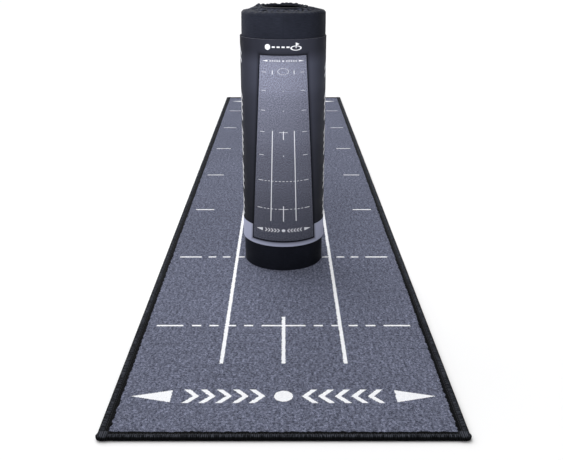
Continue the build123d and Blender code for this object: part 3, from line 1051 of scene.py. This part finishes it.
def with_creases(rows):
    """Rows of the collar with its fine creases, kept clear of the roll below."""
    clear = ROLL_TOP + FABRIC + 0.0004
    for j, row in enumerate(rows):
        share = j / (COLLAR_ROWS - 1)
        deep = CREASE_DEPTH * min(1.0, 0.6 + share * 3) * min(1.0, (1 - share) / 0.14)
        for i, point in enumerate(row):
            point.z = max(point.z + deep * crumple(2 * math.pi * i / COLLAR_COLUMNS, share), clear)
    return rows


def settled_collar():
    """The collar's cloth as rows of points from the rim to the mouth, settled by cloth simulation.

    Its flat cut is a strip as long as the rim, so the smaller mouth gathers it into folds."""
    thetas = [2 * math.pi * i / COLLAR_COLUMNS for i in range(COLLAR_COLUMNS)]
    rows = []
    for j in range(COLLAR_ROWS):
        share = j / (COLLAR_ROWS - 1)
        row = []
        for theta in thetas:
            (rim_r, rim_z), (mouth_r, mouth_z) = rim_line(theta), mouth_line(theta)
            radius = rim_r + (mouth_r - rim_r) * share
            fold = 0.0120 * math.sin(math.pi * share) * (gather(theta, share) - 0.25)
            bulge = 0.0022 * math.sin(math.pi * share)
            z = rim_z + (mouth_z - rim_z) * share + fold + bulge
            row.append(Vector(about_bag(radius, theta, z)))
        rows.append(row)
    mesh = bpy.data.meshes.new("collar_strip")
    faces = tube_faces(0, COLLAR_ROWS, COLLAR_COLUMNS)[:-2]
    centre = Vector((0.0, BAG_Y, RIM_TOP))
    mesh.from_pydata([tuple((point - centre) * SIM_SCALE) for row in rows for point in row], [], faces)
    strip = add_object(mesh)
    strip.shape_key_add(name="start")
    cut = strip.shape_key_add(name="cut")
    flat_radius = BAG_RADIUS - SHOULDER_BEND
    for j in range(COLLAR_ROWS):
        for i, theta in enumerate(thetas):
            x, y = flat_radius * math.sin(theta), -flat_radius * math.cos(theta)
            place = Vector((x, y, COLLAR_FLAT_HEIGHT * j / (COLLAR_ROWS - 1)))
            cut.data[j * COLLAR_COLUMNS + i].co = place * SIM_SCALE
    held = strip.vertex_groups.new(name="held")
    last = (COLLAR_ROWS - 1) * COLLAR_COLUMNS
    held.add([*range(COLLAR_COLUMNS), *range(last, last + COLLAR_COLUMNS)], 1.0, "REPLACE")
    cloth = strip.modifiers.new("cloth", "CLOTH")
    nylon_cloth = {
        "vertex_group_mass": "held", "rest_shape_key": cut, "quality": 6, "mass": 0.15,
        "tension_stiffness": 15.0, "compression_stiffness": 15.0, "shear_stiffness": 4.0,
        "bending_stiffness": 0.25, "air_damping": 2.0, "use_pressure": True, "uniform_pressure_force": 0.3,
    }
    for key, value in nylon_cloth.items():
        setattr(cloth.settings, key, value)
    cloth.settings.effector_weights.gravity = 0.0
    cloth.collision_settings.use_collision = False
    cloth.collision_settings.use_self_collision = True
    cloth.collision_settings.self_distance_min = 0.010
    cloth.point_cache.frame_start, cloth.point_cache.frame_end = 1, SIM_FRAMES
    for frame_number in range(1, SIM_FRAMES + 1):
        bpy.context.scene.frame_set(frame_number)
    settled = strip.evaluated_get(bpy.context.evaluated_depsgraph_get()).data
    found = [vertex.co / SIM_SCALE + centre for vertex in settled.vertices]
    bpy.data.objects.remove(strip)
    bpy.context.scene.frame_set(1)
    rows = [found[j * COLLAR_COLUMNS:(j + 1) * COLLAR_COLUMNS] for j in range(COLLAR_ROWS)]
    return with_creases(rows)


def collar_cloth(rows, material):
    """The settled cloth with its thickness, joined to the rounded shoulder at the rim."""
    arc = [math.radians(a) for a in range(0, 90, 15)]
    rings, ring_uvs = [], []
    for i in range(COLLAR_COLUMNS):
        theta = 2 * math.pi * i / COLLAR_COLUMNS
        out = Vector((math.sin(theta), -math.cos(theta), 0.0))
        axis = Vector((0.0, BAG_Y, 0.0))
        rim_r, rim_z = rim_line(theta)
        before, after = (i - 1) % COLLAR_COLUMNS, (i + 1) % COLLAR_COLUMNS
        upper, under = [], []
        for j, row in enumerate(rows):
            round_it = row[after] - row[before]
            inward = rows[min(j + 1, COLLAR_ROWS - 1)][i] - rows[max(j - 1, 0)][i]
            upper.append(row[i])
            under.append(row[i] - round_it.cross(inward).normalized() * FABRIC)
        bend = rim_z - WALL_END
        bend_r = BAG_RADIUS - FABRIC_GAP - SHOULDER_BEND
        lean = bend_r - rim_r
        outside, lining = [], []
        for a in arc:
            share = math.sin(a)
            centre_r = bend_r - lean * share
            dent = CREASE_DEPTH * 0.6 * share * crumple(theta, 0.0)
            outer_r = centre_r + (SHOULDER_BEND + dent) * math.cos(a)
            outside.append(axis + out * outer_r + Vector((0, 0, WALL_END + (bend + dent) * share)))
            inner_r = centre_r + (SHOULDER_BEND - FABRIC) * math.cos(a)
            lining.append(axis + out * inner_r + Vector((0, 0, WALL_END + (bend - FABRIC) * share)))
        ring = outside + upper + under[::-1] + lining[::-1]
        distances, total = [0.0], 0.0
        for here, there in zip(ring, ring[1:]):
            total += (there - here).length
            distances.append(total)
        rings.append([tuple(point) for point in ring])
        ring_uvs.append([(theta * BAG_RADIUS, distance) for distance in distances])
    piece = sweep("bag_collar_cloth", rings, ring_uvs, [material], closed=True, sharp_degrees=80.0)
    mark_ridges(piece, rows, len(arc), len(rings[0]))
    smooth = piece.modifiers.new("smooth", "SUBSURF")
    smooth.levels = smooth.render_levels = 1
    return piece


def mark_ridges(piece, rows, first, ring_size):
    """Stores how far each point of the cloth stands above (to 1) or below (to -1) its row's run nearby."""
    near, full = 8, 0.0006
    ridge = piece.data.attributes.new("ridge", "FLOAT", "POINT")
    for j, row in enumerate(rows):
        for i in range(COLLAR_COLUMNS):
            level = sum(row[(i + k) % COLLAR_COLUMNS].z for k in range(-near, near + 1)) / (2 * near + 1)
            ridge.data[i * ring_size + first + j].value = max(-1.0, min(1.0, (row[i].z - level) / full))


# ---------------------------------------------------------------- the card sleeve


def make_sleeve(print_material, edge_material, glue):
    """The printed wrap, with its cut edges, its lap and the glue line behind."""
    outer, inner = SLEEVE_OUTER, SLEEVE_OUTER - CARD_THICKNESS
    slit = 0.0005 / outer
    mid, crest, cut = (outer + inner) / 2, 0.0001, 0.0002
    low, high = sleeve_low.z, sleeve_high.z
    heights = [low + cut, *spaced(low + 0.001, high - 0.001, 0.02), high - cut]
    rim = [(mid + crest, high), (mid - crest, high), (inner, high - cut)]
    foot = [(inner, low + cut), (mid - crest, low), (mid + crest, low)]
    rings, ring_uvs = [], []
    for theta in spaced(-math.pi + slit, math.pi - slit, math.radians(1.5)):
        ring, uvs = [], []
        for r, z in [(outer, z) for z in heights] + rim + foot:
            up = (z - sleeve_low.z) / SLEEVE_HEIGHT
            loose = 0.00015 * math.sin(2 * theta + 0.4) + 0.0004 * math.exp(-up / 0.05)
            drift = -0.0009 * up * up
            ring.append(((r + loose) * math.sin(theta) + drift, BAG_Y - (r + loose) * math.cos(theta), z))
            uvs.append((theta * outer, z - sleeve_low.z))
        rings.append(ring)
        ring_uvs.append(uvs)
    card = sweep("sleeve_wrap", rings, ring_uvs, [print_material, edge_material], sharp_degrees=30.0)
    front = len(heights) - 1
    count = len(rings[0])
    for index, face in enumerate(card.data.polygons):
        face.material_index = 0 if index % count < front and index < (len(rings) - 1) * count else 1
    fit(card, "printed_card", "sleeve_card", "sleeve")
    strips = (("sleeve_lap", "sleeve_lap_strip", print_material, "printed_card", CARD_THICKNESS),
              ("sleeve_glue", "sleeve_glue_line", glue, "glue", GLUE_THICKNESS))
    for node, name, material, slot, thickness in strips:
        low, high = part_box(node)
        half = (high.x - low.x) / 2
        far = high.y - BAG_Y
        reach = math.asin(half / far)
        rings, ring_uvs = [], []
        for theta in spaced(math.pi - reach, math.pi + reach, math.radians(1.5)):
            outline = [(far, z) for z in spaced(low.z, high.z, 0.02)]
            outline += [(far - thickness, high.z), (far - thickness, low.z)]
            rings.append([about_bag(r, theta, z) for r, z in outline])
            ring_uvs.append([(theta * far, z - low.z) for _, z in outline])
        strip = sweep(name, rings, ring_uvs, [material], sharp_degrees=30.0)
        fit(strip, slot, node, "sleeve")


# ---------------------------------------------------------------- the stored roll


def spiral_point(depth, degrees):
    """A point of the roll's spiral: half turns about two centres, as in the CAD model."""
    half_turn = min(int(degrees // 180), ROLL_HALF_TURNS - 1)
    centre_x = half_turn % 2 * ROLL_PITCH / 2
    radius = ROLL_CORE + half_turn * ROLL_PITCH / 2 + depth
    angle = math.radians(degrees)
    return centre_x + radius * math.cos(angle), BAG_Y - ROLL_PITCH / 4 + radius * math.sin(angle)


def spiral_distance(degrees):
    """The length of mat in the roll up to one sweep angle."""
    total, left, half_turn = 0.0, degrees, 0
    while left > 0:
        part = min(left, 180.0)
        total += math.radians(part) * (ROLL_CORE + half_turn * ROLL_PITCH / 2 + PILE_TOP / 2)
        left -= part
        half_turn += 1
    return total


def roll_piece(name, node, section, degrees_from, degrees_to, material, slot):
    """A rolled band. section(distance) gives its outline as (depth, height) points."""
    rings, ring_uvs = [], []
    for degrees in spaced(degrees_from, degrees_to, 4.0):
        distance = spiral_distance(degrees)
        ring, uvs = [], []
        for depth, z in section(distance):
            x, y = spiral_point(depth, degrees)
            ring.append((x, y, z))
            uvs.append((z - (ROLL_BOTTOM + ROLL_TOP) / 2, MAT_LENGTH - distance))
        rings.append(ring)
        ring_uvs.append(uvs)
    piece = sweep(name, rings, ring_uvs, [material], sharp_degrees=50.0)
    fit(piece, slot, node, "roll")
    return piece


def make_roll(pile, rubber, tape):
    """The mat rolled pile inward: pile, backing, and tape along the top, bottom and both ends."""
    full = 180.0 * ROLL_HALF_TURNS
    web_low, web_high = ROLL_BOTTOM + TAPE_REACH, ROLL_TOP - TAPE_REACH
    outermost = ROLL_CORE + (ROLL_HALF_TURNS - 1) * ROLL_PITCH / 2 + PILE_TOP
    inner_end = math.degrees(TAPE_REACH / ROLL_CORE)
    outer_end = full - math.degrees(TAPE_REACH / outermost)

    def slab(inner_depth, outer_depth):
        heights = spaced(web_low, web_high, 0.04)
        outline = [(inner_depth, z) for z in heights] + [(outer_depth, z) for z in reversed(heights)]
        return lambda distance: outline

    pile_slab, rubber_slab = slab(0.0002, BACKING_TOP + 0.001), slab(PILE_TOP - BACKING_TOP, PILE_TOP)
    turn = (inner_end, outer_end)
    rolled = roll_piece("roll_pile_cloth", "roll_pile", pile_slab, *turn, pile, "pile")
    backing = roll_piece("roll_backing_rubber", "roll_backing", rubber_slab, *turn, rubber, "rubber_backing")

    def edge_section(low, high):
        shoulder, crest, drop = 0.0006, 0.0018, 0.0003

        def section(distance):
            puff = 0.00008 * wander(distance, low, 0.0, 0.02)
            inner, outer, soft = 0.0001, PILE_TOP - 0.0001 + puff, 0.0011
            return [
                (inner, low + soft), (inner, high - soft), (inner + shoulder, high - drop),
                (inner + crest, high), (outer - crest, high), (outer - shoulder, high - drop),
                (outer, high - soft), (outer, low + soft), (outer - shoulder, low + drop),
                (outer - crest, low), (inner + crest, low), (inner + shoulder, low + drop),
            ]
        return section

    bottom = edge_section(ROLL_BOTTOM, ROLL_BOTTOM + TAPE_REACH)
    top = edge_section(ROLL_TOP - TAPE_REACH, ROLL_TOP)
    web = edge_section(web_low, web_high)
    runs = (("bottom", bottom, 0.0, full), ("top", top, 0.0, full),
            ("inner", web, 0.0, inner_end), ("outer", web, outer_end, full))
    for word, section, start, stop in runs:
        names = (f"roll_tape_{word}", f"roll_binding_{word}")
        roll_piece(*names, section, start, stop, tape, "binding_tape")
    flat = (web_high - web_low, spiral_distance(outer_end) - spiral_distance(inner_end))


# ---------------------------------------------------------------- everything

random.seed(SEED)
make_camera()
make_studio()
pile = pile_material("printed_pile")
tape = tape_material("edge_tape")
# painted highlight: a lighter copy of the edge tape for the corner lumps
corner_tape = tape_material("corner_tape", light=tuple(1.3 * level for level in TAPE_LIGHT))
thread = thread_material()
rubber = rubber_material()
nylon = nylon_material()
lengths = mat_lengths()
piles = make_pile(lengths, pile)
backings = make_backing(lengths, rubber)
declare_mat(piles, backings, make_binding(lengths, tape, corner_tape, thread))
make_bag(nylon)
make_sleeve(sleeve_material(), card_edge_material(), glue_material())
make_roll(pile, rubber, tape)
for node, material in (("bag_side_seam", nylon), ("bag_mouth_elastic", thread)):
    cad_piece = frame["nodes"][node]
    cad_piece.data.materials.clear()
    cad_piece.data.materials.append(material)
